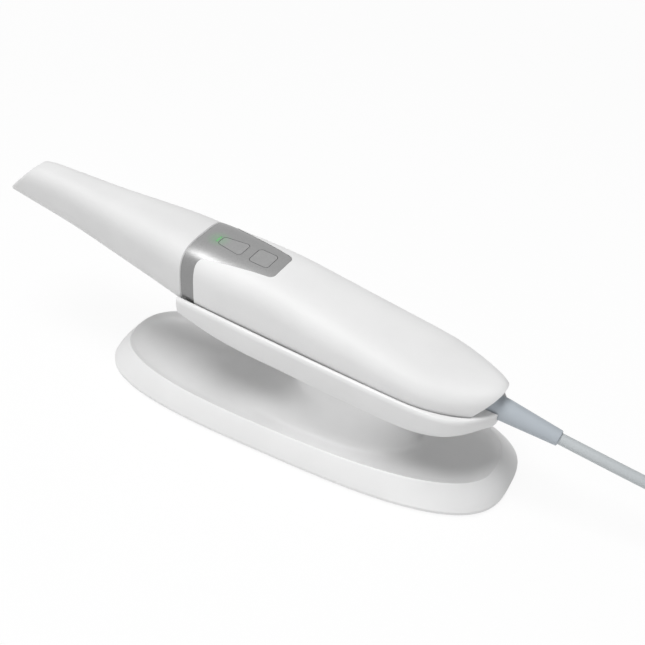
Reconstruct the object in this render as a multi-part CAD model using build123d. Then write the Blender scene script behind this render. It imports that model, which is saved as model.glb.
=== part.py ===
from build123d import *
import os
from math import copysign, cos, pi, radians, sin, tan

os.makedirs("parts", exist_ok=True)

# All lengths are in millimetres. World frame: the origin is the middle of the base's underside,
# x runs from the tip of the handpiece to its cable, z is up.
# Handpiece frame: the same x, tilted tip-up about y; its z = 0 is the plane of the cradle's rim.

# Stance
rim_height = 52.8
tilt = 5.0
overrun = 600.0

# Handpiece, outer form
tip_reach = 167.0
joint_reach = 52.7
rear_reach = 99.0
stern_foot = 87.6
stern_lean = 40.4
body_half_width = 20.6
crown_height = 24.8
keel_depth = 10.5
shoulder_start = 61.0
crown_round_length = 8.0
keel_round_length = 39.0
body_wall = 2.0
parting_depth = 1.5

# Share of the body's length from the joint, then half width, top and bottom as shares of
# body_half_width, crown_height and keel_depth
body_shares = [
    (0.000, 0.888, 1.004, -0.800),
    (0.083, 0.912, 1.002, -0.925),
    (0.182, 0.930, 0.992, -0.985),
    (0.274, 0.944, 0.962, -1.000),
    (0.421, 0.966, 0.832, -1.000),
    (0.578, 0.988, 0.680, -1.000),
    (0.710, 1.000, 0.555, -0.995),
    (0.802, 1.000, 0.490, -0.990),
    (0.862, 1.000, 0.462, -0.985),
    (1.000, 1.000, 0.440, -0.980),
]
# Share of the sleeve's length from the joint to the tip, then the same three
sleeve_shares = [
    (0.000, 0.888, 1.004, -0.800),
    (0.080, 0.838, 1.036, -0.665),
    (0.239, 0.730, 1.048, -0.430),
    (0.405, 0.616, 1.040, -0.195),
    (0.536, 0.530, 1.046, 0.000),
    (0.659, 0.463, 1.056, 0.170),
    (0.764, 0.427, 1.052, 0.310),
    (0.820, 0.415, 1.030, 0.395),
    (0.869, 0.405, 0.985, 0.480),
    (0.930, 0.397, 0.900, 0.610),
    (1.030, 0.388, 0.740, 0.790),
]
end_station_shares = [0.42, 0.70, 0.87, 0.955, 0.993]
body_power = 3.5
sleeve_root_power = 3.3
sleeve_tip_power = 2.9
plan_end_power = 1.72
stern_power = 2.4
crown_end_power = 3.0
keel_end_power = 2.6

# Tip sleeve
sleeve_wall = 1.6
tip_angle = 45.0
tip_foot = 7.4
tip_wall = 2.0
tip_edge_radius = 1.3
sleeve_lip = 0.5
joint_gap = 0.2
window_length = 12.5
window_half_width = 5.6
window_rim = 3.6
mirror_thickness = 1.0
mirror_gap = 0.15

# Collar with its tongue
ring_length = 7.0
tongue_length = 34.8
tongue_root_half_width = 14.1
tongue_end_half_width = 8.6
tongue_root_radius = 4.0
tongue_end_radius = 3.0
collar_recess = 0.12
seam_gap = 0.12

# Buttons in the tongue
scan_front = 9.3
scan_length = 13.1
scan_front_half_width = 2.9
scan_rear_half_width = 4.9
scan_radius = 1.6
mode_front = 26.8
mode_length = 10.0
mode_half_width = 5.2
mode_radius = 2.0
button_gap = 0.22
button_flange = 1.0
button_flange_thickness = 0.9
button_flange_drop = 0.35
button_stem_radius = 1.1
light_half_width = 2.2
light_length = 0.9
light_inset = 0.35

# Nose barrel under the sleeve
barrel_fit = 0.4
root_length = 11.5
snout_length = 35.5
snout_half_width = 11.0
snout_top = 21.5
snout_bottom = 1.5
barrel_wall = 1.6
flange_length = 7.5
flange_fit = 0.1
seal_width = 1.6
seal_depth = 0.9
seal_proud = 0.12
seal_place = 7.0
window_glass = 1.2
window_rebate = 0.8

# Optics and electronics inside the body
chassis_floor = 1.9
chassis_plate = 1.5
chassis_wall = 1.6
chassis_half_width = 11.6
chassis_length = 49.0
chassis_top = 16.2
module_length = 27.0
module_gap = 1.2
module_height = 11.0
module_side_gap = 0.4
module_setback = 3.0
lens_radius = 3.7
lens_length = 20.0
lens_glass = 2.0
button_board_thickness = 1.2
button_board_length = 33.0
switch_size = 5.0
switch_height = 1.4
switch_gap = 0.5
main_board_start = 62.7
main_board_length = 61.0
main_board_half_width = 11.4
main_board_thickness = 1.6
chip_size = 17.0
chip_height = 1.8
socket_length = 9.0
socket_width = 13.0
socket_height = 4.5
post_radius = 2.4
post_inset = 2.6
boss_radius = 2.6
boss_offset = 14.6
boss_places = [22.7, 112.7]
shell_screw_radius = 1.0
shell_screw_head_radius = 2.0
shell_screw_head_height = 1.3
shell_screw_reach = 5.0
counterbore_depth = 5.2
hole_clearance = 0.05

# Strain relief and the clamp on its tail
relief_reach = 96.0
relief_drop = 1.0
relief_angle = 5.4
relief_root_radius = 5.0
relief_end_radius = 3.4
relief_length = 26.0
relief_neck = 16.5
relief_straight = 1.5
relief_flange_radius = 6.4
relief_flange_length = 2.0
relief_tail_radius = 3.2
relief_tail_length = 24.4
relief_tip_round = 0.7
clamp_length = 4.0
clamp_half_width = 7.4
clamp_bar = 1.6
clamp_screw_radius = 0.8
clamp_screw_offset = 5.3

# Cradle tray
tray_clearance = 0.6
tray_rim_width = 2.6
tray_depth = 21.5
tray_nose = 1.5
nose_rake = 29.0
rake_start = 4.2
tray_power = 3.0
tray_end_power = 2.1
stern_sill = 10.2
rim_chamfer_width = 1.5
rim_chamfer_height = 2.3
notch_radius = 5.5
# Share of the tray's length from its nose, half width as a share of body_half_width plus rim,
# depth as a share of tray_depth
tray_shares = [
    (0.000, 0.760, 0.400),
    (0.010, 0.868, 0.520),
    (0.028, 0.898, 0.620),
    (0.055, 0.908, 0.740),
    (0.095, 0.918, 0.835),
    (0.170, 0.940, 0.925),
    (0.280, 0.957, 0.985),
    (0.430, 0.982, 1.000),
    (0.600, 1.000, 1.000),
    (0.700, 1.000, 1.000),
    (0.775, 1.000, 0.965),
    (0.855, 1.000, 0.830),
    (0.908, 1.000, 0.620),
    (0.942, 1.000, 0.445),
    (0.972, 1.000, 0.300),
    (0.992, 1.000, 0.180),
    (0.999, 1.000, 0.090),
]
pad_places = [(0.09, 0.21), (0.66, 0.78)]
pad_half_width = 8.0
pad_floor = 13.0
pad_gap = 0.1

# Base
base_half_length = 105.0
base_half_width = 37.3
base_crest = 11.0
pedestal_shift = 28.0
pedestal_top = 36.0
base_bottom = 0.6
# Half length, half width and height as shares of base_half_length, base_half_width and
# base_crest, the outline's power, and the shift towards the pedestal as a share of it
base_shares = [
    (0.981, 0.946, 0.055, 3.17, 0.0),
    (0.994, 0.985, 0.120, 3.17, 0.0),
    (1.000, 1.000, 0.235, 3.17, 0.0),
    (0.996, 0.986, 0.390, 3.15, 0.0),
    (0.971, 0.917, 0.690, 3.05, 0.0),
    (0.950, 0.856, 0.930, 2.95, 0.0),
    (0.942, 0.832, 0.990, 2.93, 0.0),
    (0.934, 0.812, 0.985, 2.92, 0.0),
    (0.922, 0.785, 0.930, 2.90, 0.0),
    (0.862, 0.705, 0.700, 2.85, 0.0),
    (0.680, 0.610, 0.585, 2.60, 0.10),
    (0.500, 0.540, 0.660, 2.40, 0.40),
    (0.385, 0.490, 0.960, 2.20, 0.75),
    (0.310, 0.470, 1.500, 2.10, 0.95),
    (0.278, 0.485, 2.100, 2.00, 1.00),
    (0.272, 0.520, 2.600, 2.00, 1.00),
]
pocket_inset_length = 12.0
pocket_inset_width = 9.8
pocket_power = 3.0
plate_thickness = 1.6
ballast_thickness = 1.8
ballast_margin = 1.5
pocket_gap = 0.2
pad_thickness = 1.0
pad_margin = 2.5
base_screw_x = 84.0
base_screw_y = 12.0
base_screw_radius = 1.2
base_screw_head_radius = 2.4
base_screw_head_height = 0.9
base_screw_reach = 1.8
cavity_half_length = 23.0
cavity_half_width = 11.0
cavity_taper = 3.0
pedestal_roof = 22.5
ballast_block_height = 12.0
ballast_block_gap = 0.6
cradle_screw_spacing = 18.0
cradle_screw_radius = 1.5
cradle_screw_head_radius = 2.9
cradle_screw_head_height = 2.2
cradle_screw_reach = 13.0
belly_gap = 0.05

# Cable, coil and plug. The route's points lie on the desk beyond the handpiece.
cable_radius = 2.5
cable_lead = 38.0
cable_route = [(181.0, 5.5, 23.5), (205.0, 12.0, 12.5), (229.4, 13.7, 4.2), (257.0, 8.8, 2.6)]
tail_route = [
    (216.8, -55.4, 7.7), (210.7, -42.3, 8.6), (208.8, -30.8, 11.6), (214.4, -21.4, 13.6),
    (224.4, -16.0, 14.45), (235.0, -16.0, 14.45),
]
run_share = 0.45
coil_centre = (250.0, -31.0)
coil_inner = 17.4
coil_outer = 43.0
coil_height = 10.4
coil_round = 2.4
plug_length = 34.0
plug_width = 15.5
plug_thickness = 8.0
plug_round = 2.0
plug_boot_length = 6.0
plug_boot_radius = 3.6
plug_shell_length = 14.0
plug_shell_width = 12.0
plug_shell_thickness = 4.5
plug_shell_wall = 0.4
tongue_plate_width = 11.0
tongue_plate_thickness = 1.8
tongue_plate_length = 12.5
plug_seat = 5.0

body_length = joint_reach + rear_reach
sleeve_length = tip_reach - joint_reach
ring_rear = -joint_reach + joint_gap + ring_length
tongue_rear = ring_rear + tongue_length
tray_start = -joint_reach - tray_nose
tray_end = stern_foot + stern_sill
tray_half_width = body_half_width + tray_rim_width
seat = Location((0, 0, rim_height), (0, tilt, 0))
whole = 1.0


def between(table, place):
    """Values of a table of stations at a place between two of its rows."""
    for low, high in zip(table, table[1:]):
        if place <= high[0]:
            part = (place - low[0]) / (high[0] - low[0])
            return [a + (b - a) * part for a, b in zip(low[1:], high[1:])]
    return list(table[-1][1:])


def rounded(x, start, end, power):
    """How far a size has shrunk at x on the way from start to a rounded end."""
    run = min(max((x - start) / (end - start), 0), whole)
    return (whole - run ** power) ** (whole / power)


def ring(x, half_width, top, bottom, power):
    """Upright superellipse section of the handpiece or the tray at x."""
    middle = (top + bottom) / 2
    half_height = (top - bottom) / 2
    steps = 20
    points = []
    for step in range(steps):
        turn = 2 * pi * step / steps - pi / 2
        across = copysign(abs(cos(turn)) ** (2 / power), cos(turn))
        up = copysign(abs(sin(turn)) ** (2 / power), sin(turn))
        points.append(Vector(x, half_width * across, middle + half_height * up))
    return Wire([Edge.make_spline(points, periodic=True)])


def oval(half_length, half_width, z, power, shift):
    """Level superellipse outline of the base at height z."""
    steps = 28
    points = []
    for step in range(steps):
        turn = 2 * pi * step / steps
        along = copysign(abs(cos(turn)) ** (2 / power), cos(turn))
        across = copysign(abs(sin(turn)) ** (2 / power), sin(turn))
        points.append(Vector(shift + half_length * along, half_width * across, z))
    return Wire([Edge.make_spline(points, periodic=True)])


def block(x0, x1, y0, y1, z0, z1):
    """Box between three pairs of limits."""
    return Pos((x0 + x1) / 2, (y0 + y1) / 2, (z0 + z1) / 2) * Box(x1 - x0, y1 - y0, z1 - z0)


def slab(x0, x1):
    """Everything of the handpiece between two stations."""
    return block(x0, x1, -overrun / 2, overrun / 2, -overrun / 2, overrun / 2)


def post(x, y, z0, z1, radius):
    """Upright cylinder between two heights."""
    return Pos(x, y, (z0 + z1) / 2) * Cylinder(radius, z1 - z0)


def level_oval(half_length, half_width, z0, z1, power, shift=0):
    """Straight-sided oval plate or pocket."""
    face = Face(oval(half_length, half_width, z0, power, shift))
    return extrude(face, z1 - z0, dir=(0, 0, 1))


def body_size(x, inset=0):
    """Half width, top and bottom of the body at x, taken in by inset."""
    wide, top, bottom = between(body_shares, (x + joint_reach) / body_length)
    end = rear_reach - inset
    half_width = (wide * body_half_width - inset) * rounded(x, shoulder_start, end, plan_end_power)
    high = (top * crown_height - inset) * rounded(
        x, rear_reach - crown_round_length, end, crown_end_power
    )
    low = (bottom * keel_depth + inset) * rounded(
        x, rear_reach - keel_round_length, end, keel_end_power
    )
    return half_width, high, low


def body_form(inset=0, front=0):
    """Solid of the handpiece's body from the joint to the cable, taken in by inset."""
    stations = [share[0] * body_length - joint_reach for share in body_shares[:-1]]
    end_start = stations[-1]
    end = rear_reach - inset
    stations += [end_start + share * (end - end_start) for share in end_station_shares]
    sections = []
    for x in stations:
        run = min(max((x - shoulder_start) / (rear_reach - shoulder_start), 0), whole)
        power = body_power + (stern_power - body_power) * run
        sections.append(ring(x, *body_size(x, inset), power))
    form = Part() + Solid.make_loft(sections)
    if front:
        form += extrude(Face(sections[0]), front, dir=(-1, 0, 0))
    stern = Location((stern_foot, 0, 0), (0, stern_lean, 0))
    ahead = stern * (Pos(-overrun / 2 - inset, 0, 0) * Box(overrun, overrun, overrun))
    return form & ahead


def sleeve_size(x, inset=0):
    """Half width, top and bottom of the sleeve at x, taken in by inset."""
    wide, top, bottom = between(sleeve_shares, (-joint_reach - x) / sleeve_length)
    half_width = wide * body_half_width - inset
    return half_width, top * crown_height - inset, bottom * keel_depth + inset


def sleeve_form(inset=0, rear=0):
    """Solid of the tip sleeve before its slanted front is cut, taken in by inset."""
    sections = []
    for share in sleeve_shares:
        x = -joint_reach - share[0] * sleeve_length
        blend = min(share[0], whole)
        power = sleeve_root_power + (sleeve_tip_power - sleeve_root_power) * blend
        sections.append(ring(x, *sleeve_size(x, inset), power))
    if rear:
        size = sleeve_size(-joint_reach, inset)
        sections.insert(0, ring(-joint_reach + rear, *size, sleeve_root_power))
    return Part() + Solid.make_loft(sections)


def behind_tip(depth):
    """Everything behind the slanted front plane, moved back by depth across it."""
    corner = Location((-tip_reach, 0, tip_foot), (0, -tip_angle, 0))
    half_space = Pos(overrun / 2, 0, -overrun / 2 - depth) * Box(2 * overrun, overrun, overrun)
    return corner * half_space


def tip_sleeve():
    """Hollow sleeve with the slanted front, the scanning window and a light rear lip."""
    outer = sleeve_form() & behind_tip(0)
    front = outer.faces().sort_by(Axis.X)[0]
    outer = fillet(front.edges(), tip_edge_radius)
    rear = outer.faces().sort_by(Axis.X)[-1]
    outer = chamfer(rear.edges(), sleeve_lip)
    inner = sleeve_form(sleeve_wall, joint_gap) & behind_tip(tip_wall)
    window_front = -tip_reach + window_rim + tip_wall
    window = block(
        window_front, window_front + window_length, -window_half_width, window_half_width,
        -tip_foot, tip_foot + sleeve_wall + tip_wall,
    )
    return outer - inner - window


def tip_mirror():
    """Mirror plate on the inside of the slanted front wall."""
    plate = sleeve_form(sleeve_wall + mirror_gap) & behind_tip(tip_wall)
    plate -= behind_tip(tip_wall + mirror_thickness)
    floor = tip_foot + sleeve_wall + mirror_thickness
    return plate & block(-overrun, overrun, -overrun, overrun, floor, overrun)


def collar_plan(gap):
    """Plan of the ring and its tapered tongue, grown by gap."""
    front = -joint_reach + joint_gap
    slope = (tongue_root_half_width - tongue_end_half_width) / tongue_length
    rear = tongue_rear + gap
    root = tongue_root_half_width + gap
    end = tongue_root_half_width - slope * (rear - ring_rear) + gap
    outline = Polyline(
        (front - gap, -body_half_width * 2), (ring_rear + gap, -body_half_width * 2),
        (ring_rear + gap, -root), (rear, -end), (rear, end), (ring_rear + gap, root),
        (ring_rear + gap, body_half_width * 2), (front - gap, body_half_width * 2), close=True,
    )
    plan = make_face(outline)
    inner = plan.vertices().filter_by(lambda v: abs(abs(v.Y) - root) < gap + seam_gap)
    plan = fillet(inner.filter_by(lambda v: abs(v.X - ring_rear) < ring_length), tongue_root_radius)
    outer = plan.vertices().sort_by(Axis.X)[-2:]
    return fillet(outer, tongue_end_radius)


def collar_region(gap):
    """Room that the collar takes in the shells, grown by gap."""
    tongue = extrude(collar_plan(gap), crown_height * 2)
    front = -joint_reach + joint_gap
    return tongue + slab(front - ring_length, ring_rear + gap)


def scan_plan(gap):
    """Plan of the scan button, wider at its rear, grown by gap."""
    front = -joint_reach + scan_front - gap
    rear = -joint_reach + scan_front + scan_length + gap
    outline = Polyline(
        (front, -scan_front_half_width - gap), (rear, -scan_rear_half_width - gap),
        (rear, scan_rear_half_width + gap), (front, scan_front_half_width + gap), close=True,
    )
    plan = make_face(outline)
    return fillet(plan.vertices(), scan_radius + gap)


def mode_plan(gap):
    """Plan of the second button, grown by gap."""
    middle = -joint_reach + mode_front + mode_length / 2
    plan = Rectangle(mode_length + 2 * gap, 2 * (mode_half_width + gap))
    return Pos(middle, 0) * fillet(plan.vertices(), mode_radius + gap)


def light_plan(gap):
    """Plan of the status light in front of the scan button, grown by gap."""
    rear = -joint_reach + scan_front - button_gap - light_inset
    plan = Rectangle(light_length + 2 * gap, 2 * (light_half_width + gap))
    return Pos(rear - light_length / 2, 0) * plan


def prism(plan):
    """Upright prism through the top of the body."""
    return extrude(plan, crown_height * 2)


def control_collar():
    """Silver ring with its tongue and the button holes."""
    skin = body_form(collar_recess) - body_form(body_wall, ring_length)
    region = collar_region(0) & slab(-joint_reach + joint_gap, overrun)
    collar = skin & region
    for plan in (scan_plan(0), mode_plan(0), light_plan(0)):
        collar -= prism(plan)
    return collar


def button(plan, middle):
    """Button cap let into the collar, with the flange and stem under it."""
    cap = (body_form(collar_recess) - body_form(body_wall + button_flange_drop)) & prism(
        plan(-button_gap)
    )
    top = body_wall + button_flange_drop
    flange = body_form(top) - body_form(top + button_flange_thickness)
    flange &= prism(plan(button_flange - button_gap))
    stem = post(middle, 0, switch_top + switch_gap, crown_height, button_stem_radius)
    stem &= body_form(top)
    return cap + flange + stem


def status_light():
    """Light bar flush with the collar."""
    bar = body_form(collar_recess) - body_form(body_wall + button_flange_drop / 2)
    return bar & prism(light_plan(-seam_gap / 2))


def shells():
    """Upper and lower shell of the body with their bosses and posts."""
    outer = body_form()
    inner = body_form(body_wall, ring_length)
    skin = outer - inner - collar_region(seam_gap)
    room = body_form(body_wall / 2)
    above = block(-overrun, overrun, -overrun, overrun, -parting_depth, overrun)
    below = block(-overrun, overrun, -overrun, overrun, -overrun, -parting_depth)
    upper = skin & above
    lower = skin & below
    for x in boss_xs:
        for y in (-boss_offset, boss_offset):
            boss = post(x, y, -keel_depth * 2, crown_height * 2, boss_radius) & room
            upper += boss & above
            lower += boss & below
            upper -= post(
                x, y, -keel_depth * 2, shell_screw_reach + shell_screw_radius,
                shell_screw_radius + hole_clearance,
            )
            lower -= post(x, y, -keel_depth * 2, 0, shell_screw_radius + hole_clearance)
            head_room = shell_screw_head_radius + hole_clearance
            lower -= post(x, y, -keel_depth * 2, screw_seat, head_room)
    for x, y, top in post_places():
        lower += post(x, y, -keel_depth * 2, top, post_radius) & room
    lower += clamp_saddle() & room
    relief_hole = relief_cylinder(-relief_neck, relief_length, relief_root_radius + hole_clearance)
    tail_room = relief_cylinder(-relief_tail_length, 0, relief_tail_radius + hole_clearance)
    upper = upper - relief_hole - tail_room
    lower = lower - relief_hole - tail_room - clamp_screw_posts(hole_clearance)
    return upper, lower


def post_places():
    """Places and tops of the posts under the chassis and the main board."""
    places = []
    chassis_rear = barrel_rear + chassis_length
    for x in (barrel_rear + post_inset * 2, chassis_rear - post_inset):
        for y in (-chassis_half_width + post_inset, chassis_half_width - post_inset):
            places.append((x, y, chassis_floor))
    board = -joint_reach + main_board_start
    for x in (board + post_inset, board + main_board_length - post_inset):
        for y in (-main_board_half_width + post_inset, main_board_half_width - post_inset):
            places.append((x, y, 0))
    return places


def shell_screws():
    """Four screws that close the body from below."""
    screws = []
    for x in boss_xs:
        for y in (-boss_offset, boss_offset):
            head = post(x, y, screw_seat - shell_screw_head_height, screw_seat,
                        shell_screw_head_radius)
            shank = post(x, y, screw_seat, shell_screw_reach, shell_screw_radius)
            screws.append(head + shank)
    return screws


def nose_barrel():
    """Barrel that the sleeve slides on: flange in the collar, tapered root and snout."""
    flange = body_form(body_wall + flange_fit, ring_length) & slab(barrel_front, barrel_rear)
    root_end = barrel_front - root_length
    rear_size = sleeve_size(-joint_reach, sleeve_wall + barrel_fit)
    wide, top, bottom = sleeve_size(root_end, sleeve_wall + barrel_fit)
    top = rear_size[1]
    root = Part() + Solid.make_loft([
        ring(barrel_front, *rear_size, sleeve_root_power),
        ring(root_end, wide, top, bottom, sleeve_root_power),
    ])
    snout = Part() + Solid.make_loft([
        ring(barrel_front, snout_half_width, snout_top, snout_bottom, sleeve_root_power),
        ring(snout_front, snout_half_width, snout_top, snout_bottom, sleeve_root_power),
    ])
    bore = Part() + Solid.make_loft([
        ring(x, snout_half_width - barrel_wall, snout_top - barrel_wall,
             snout_bottom + barrel_wall, sleeve_root_power)
        for x in (barrel_rear + barrel_wall, snout_front - barrel_wall)
    ])
    barrel = flange + root + snout - bore - nose_window(hole_clearance)
    return barrel - seal_band(-seal_depth, barrel_wall)


def seal_band(low, high):
    """Ring round the barrel's root between two heights over its surface."""
    x0 = barrel_front - seal_place
    x1 = x0 - seal_width
    bands = []
    for grow in (high, low):
        sections = []
        for x in (x0, x1):
            wide, top, bottom = root_size(x)
            sections.append(ring(x, wide + grow, top + grow, bottom - grow, sleeve_root_power))
        bands.append(Part() + Solid.make_loft(sections))
    return bands[0] - bands[1]


def root_size(x):
    """Half width, top and bottom of the barrel's tapered root at x."""
    rear_size = sleeve_size(-joint_reach, sleeve_wall + barrel_fit)
    wide, top, bottom = sleeve_size(barrel_front - root_length, sleeve_wall + barrel_fit)
    part = (barrel_front - x) / root_length
    return (
        rear_size[0] + (wide - rear_size[0]) * part,
        rear_size[1],
        rear_size[2] + (bottom - rear_size[2]) * part,
    )


def barrel_seal():
    """Seal ring in the groove of the barrel's root."""
    return seal_band(-seal_depth, seal_proud)


def nose_window(grow=0):
    """Front glass of the barrel in its rebate."""
    inset = window_rebate - grow
    return Part() + Solid.make_loft([
        ring(x, snout_half_width - inset, snout_top - inset, snout_bottom + inset,
             sleeve_root_power)
        for x in (snout_front - grow, snout_front + window_glass)
    ])


def optics_chassis():
    """Aluminium channel that carries the two modules and the button board."""
    x0, x1 = barrel_rear, barrel_rear + chassis_length
    channel = block(x0, x1, -chassis_half_width, chassis_half_width, chassis_floor, chassis_top)
    inside = chassis_half_width - chassis_wall
    return channel - block(
        x0 - chassis_wall, x1 + chassis_wall, -inside, inside,
        chassis_floor + chassis_plate, crown_height,
    )


def module(side):
    """Projector or camera module on its side of the channel."""
    outer = chassis_half_width - chassis_wall - module_side_gap
    y0, y1 = sorted((side * module_gap / 2, side * outer))
    floor = chassis_floor + chassis_plate
    x0 = barrel_rear + module_setback
    body = block(x0, x0 + module_length, y0, y1, floor, floor + module_height)
    return chamfer(body.edges().filter_by(Axis.Z), module_gap / 2)


def lens(side):
    """Lens tube in front of a module, with its glass let in at the front."""
    outer = chassis_half_width - chassis_wall - module_side_gap
    y = side * (module_gap / 2 + outer) / 2
    z = chassis_floor + chassis_plate + module_height / 2
    x1 = barrel_rear + module_setback
    x0 = x1 - lens_length
    tube = Location(((x0 + x1) / 2, y, z), (0, 90, 0)) * Cylinder(lens_radius, lens_length)
    dish = Location((x0, y, z), (0, 90, 0)) * Cylinder(lens_radius - module_gap / 2, lens_glass)
    return tube - dish


def button_board():
    """Board on the channel's walls under the buttons."""
    x0 = barrel_rear + hole_clearance
    return block(
        x0, x0 + button_board_length, -chassis_half_width, chassis_half_width,
        chassis_top, chassis_top + button_board_thickness,
    )


def switch(x):
    """Tact switch on the button board."""
    half = switch_size / 2
    body = block(x - half, x + half, -half, half, board_top, board_top + switch_height / 2)
    return body + post(x, 0, board_top, switch_top, button_stem_radius)


def main_board():
    """Main board with its processor and the cable's socket."""
    x0 = -joint_reach + main_board_start
    x1 = x0 + main_board_length
    half = main_board_half_width
    board = block(x0, x1, -half, half, 0, main_board_thickness)
    top = main_board_thickness
    chip_x = x0 + chip_size
    board += block(chip_x, chip_x + chip_size, -chip_size / 2, chip_size / 2, 0, top + chip_height)
    board += block(
        x1 - socket_length - post_inset, x1 - post_inset, -socket_width / 2, socket_width / 2,
        0, top + socket_height,
    )
    return board


def relief_cylinder(start, end, radius):
    """Round bar on the strain relief's axis."""
    return relief_frame * (Pos(0, 0, (start + end) / 2) * Cylinder(radius, end - start))


def strain_relief():
    """Tapered relief with a straight neck in the shells and a flange inside them."""
    profile = Polyline(
        (0, -relief_tail_length), (relief_tail_radius, -relief_tail_length),
        (relief_tail_radius, -relief_neck), (relief_root_radius, -relief_neck),
        (relief_root_radius, relief_straight), (relief_end_radius, relief_length),
        (0, relief_length), close=True,
    )
    cone = revolve(Plane.XZ * make_face(profile), Axis.Z)
    cone = fillet(cone.edges().sort_by(Axis.Z)[-1:], relief_tip_round)
    flange = relief_cylinder(-relief_neck - relief_flange_length, 0, relief_flange_radius)
    return relief_frame * cone + (flange & body_form(body_wall + flange_fit))


def clamp_zone(z0, z1):
    """Block across the strain relief's tail at the clamp."""
    return block(
        clamp_rear - clamp_length, clamp_rear, -clamp_half_width, clamp_half_width, z0, z1
    )


def clamp_saddle():
    """Half-round saddle of the lower shell under the relief's tail."""
    return clamp_zone(-keel_depth, -parting_depth)


def clamp_screw_posts(grow):
    """Two holes or shanks through the clamp."""
    x1 = clamp_rear - clamp_length / 2
    shanks = [
        post(x1, y, -parting_depth - relief_tail_radius, clamp_top, clamp_screw_radius + grow)
        for y in (-clamp_screw_offset, clamp_screw_offset)
    ]
    return shanks[0] + shanks[1]


def cable_clamp():
    """Bar over the relief's tail."""
    bar = clamp_zone(-parting_depth, clamp_top)
    bar -= relief_cylinder(-relief_tail_length * 2, 0, relief_tail_radius + hole_clearance)
    return bar - clamp_screw_posts(hole_clearance)


def clamp_screws():
    """Two small screws of the clamp."""
    x1 = clamp_rear - clamp_length / 2
    screws = []
    for y in (-clamp_screw_offset, clamp_screw_offset):
        shank = post(x1, y, -parting_depth - relief_tail_radius, clamp_top, clamp_screw_radius)
        head = post(x1, y, clamp_top, clamp_top + clamp_screw_radius, 2 * clamp_screw_radius)
        screws.append(shank + head)
    return screws


def tray_form(grow=0):
    """Boat-shaped solid of the cradle tray, above and below the rim plane."""
    length = tray_end - tray_start
    sections = []
    for place, wide, deep in tray_shares:
        x = tray_start + place * length
        if not sections:
            x -= grow
        half_width = wide * tray_half_width * rounded(
            x, shoulder_start, tray_end, tray_end_power
        )
        depth = deep * tray_depth + grow
        sections.append(ring(x, half_width + grow, depth, -depth, tray_power))
    return Part() + Solid.make_loft(sections)


def pad_blocks():
    """Places of the two rest pads on the tray's floor."""
    length = tray_end - tray_start
    blocks = []
    for start, end in pad_places:
        blocks.append(block(
            tray_start + start * length, tray_start + end * length,
            -pad_half_width, pad_half_width, -pad_floor, -keel_depth / 2,
        ))
    return blocks


def cradle_tray():
    """Open tray with a chamfered rim, the seat of the handpiece and the cable's notch."""
    tray = tray_form() & block(-overrun, overrun, -overrun, overrun, -overrun, 0)
    rim = tray.faces().sort_by(Axis.Z)[-1]
    tray = chamfer(rim.edges(), rim_chamfer_height, rim_chamfer_width, reference=rim)
    rake = Location((tray_start + tray_nose + rake_start, 0, 0), (0, nose_rake, 0))
    tray -= rake * (Pos(-overrun / 2, 0, 0) * Box(overrun, overrun, overrun))
    tray -= body_form(-tray_clearance, tray_nose * 2)
    tray -= relief_cylinder(-relief_tail_length, relief_length, notch_radius)
    tray -= relief_frame * block(
        -crown_height, 0, -notch_radius, notch_radius, -relief_tail_length, relief_length
    )
    for pad in pad_blocks():
        tray -= pad
    return tray - cradle_screw_posts(hole_clearance)


def rest_pad(place):
    """Soft pad under the handpiece."""
    return pad_blocks()[place] - body_form(-pad_gap)


def cradle_screw_posts(grow):
    """Shanks of the two screws between pedestal and tray, in the handpiece frame."""
    shanks = [
        post(x, 0, -tray_depth - screw_grip, -tray_depth - screw_grip + cradle_screw_reach,
             cradle_screw_radius + grow)
        for x in cradle_screw_xs
    ]
    return shanks[0] + shanks[1]


def cradle_screws():
    """Two screws up through the pedestal into the tray."""
    screws = []
    for x in cradle_screw_xs:
        bottom = -tray_depth - screw_grip
        shank = post(x, 0, bottom, bottom + cradle_screw_reach, cradle_screw_radius)
        head = post(x, 0, bottom - cradle_screw_head_height, bottom, cradle_screw_head_radius)
        screws.append(shank + head)
    return screws


def base_shell():
    """Foot, sloping rim, dish and trumpet pedestal as one loft, hollow from below."""
    sections = []
    for long, wide, high, power, shift in base_shares:
        sections.append(oval(
            long * base_half_length, wide * base_half_width, high * base_crest, power,
            shift * pedestal_shift,
        ))
    long, wide, high, power, shift = base_shares[-1]
    sections.append(oval(
        long * base_half_length, wide * base_half_width, pedestal_top, power,
        shift * pedestal_shift,
    ))
    shell = Part() + Solid.make_loft(sections)
    shell -= seat * tray_form(belly_gap)
    shell -= level_oval(pocket_long, pocket_wide, -base_crest, ballast_top, pocket_power)
    cavity = Part() + Solid.make_loft([
        oval(cavity_half_length, cavity_half_width, ballast_top - plate_thickness, 2, pedestal_shift),
        oval(cavity_half_length - cavity_taper, cavity_half_width - cavity_taper, pedestal_roof, 2,
             pedestal_shift),
    ])
    shell -= cavity
    for x, y in base_screw_places:
        shell -= post(x, y, 0, base_screw_tip + hole_clearance, base_screw_radius + hole_clearance)
    head_room = cradle_screw_head_radius + hole_clearance
    for x in cradle_screw_xs:
        bottom = -tray_depth - screw_grip
        shell -= seat * post(x, 0, bottom - cradle_screw_head_height * 4, bottom, head_room)
    return shell - seat * cradle_screw_posts(hole_clearance)


def base_plate():
    """Cover under the ballast, recessed for the grip pad."""
    plate = level_oval(
        pocket_long - pocket_gap, pocket_wide - pocket_gap, base_bottom, ballast_bottom,
        pocket_power,
    )
    plate -= grip_pad()
    for x, y in base_screw_places:
        plate -= post(x, y, 0, ballast_bottom, base_screw_radius + hole_clearance)
        plate -= post(x, y, 0, screw_head_top, base_screw_head_radius + hole_clearance)
    return plate


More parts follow.
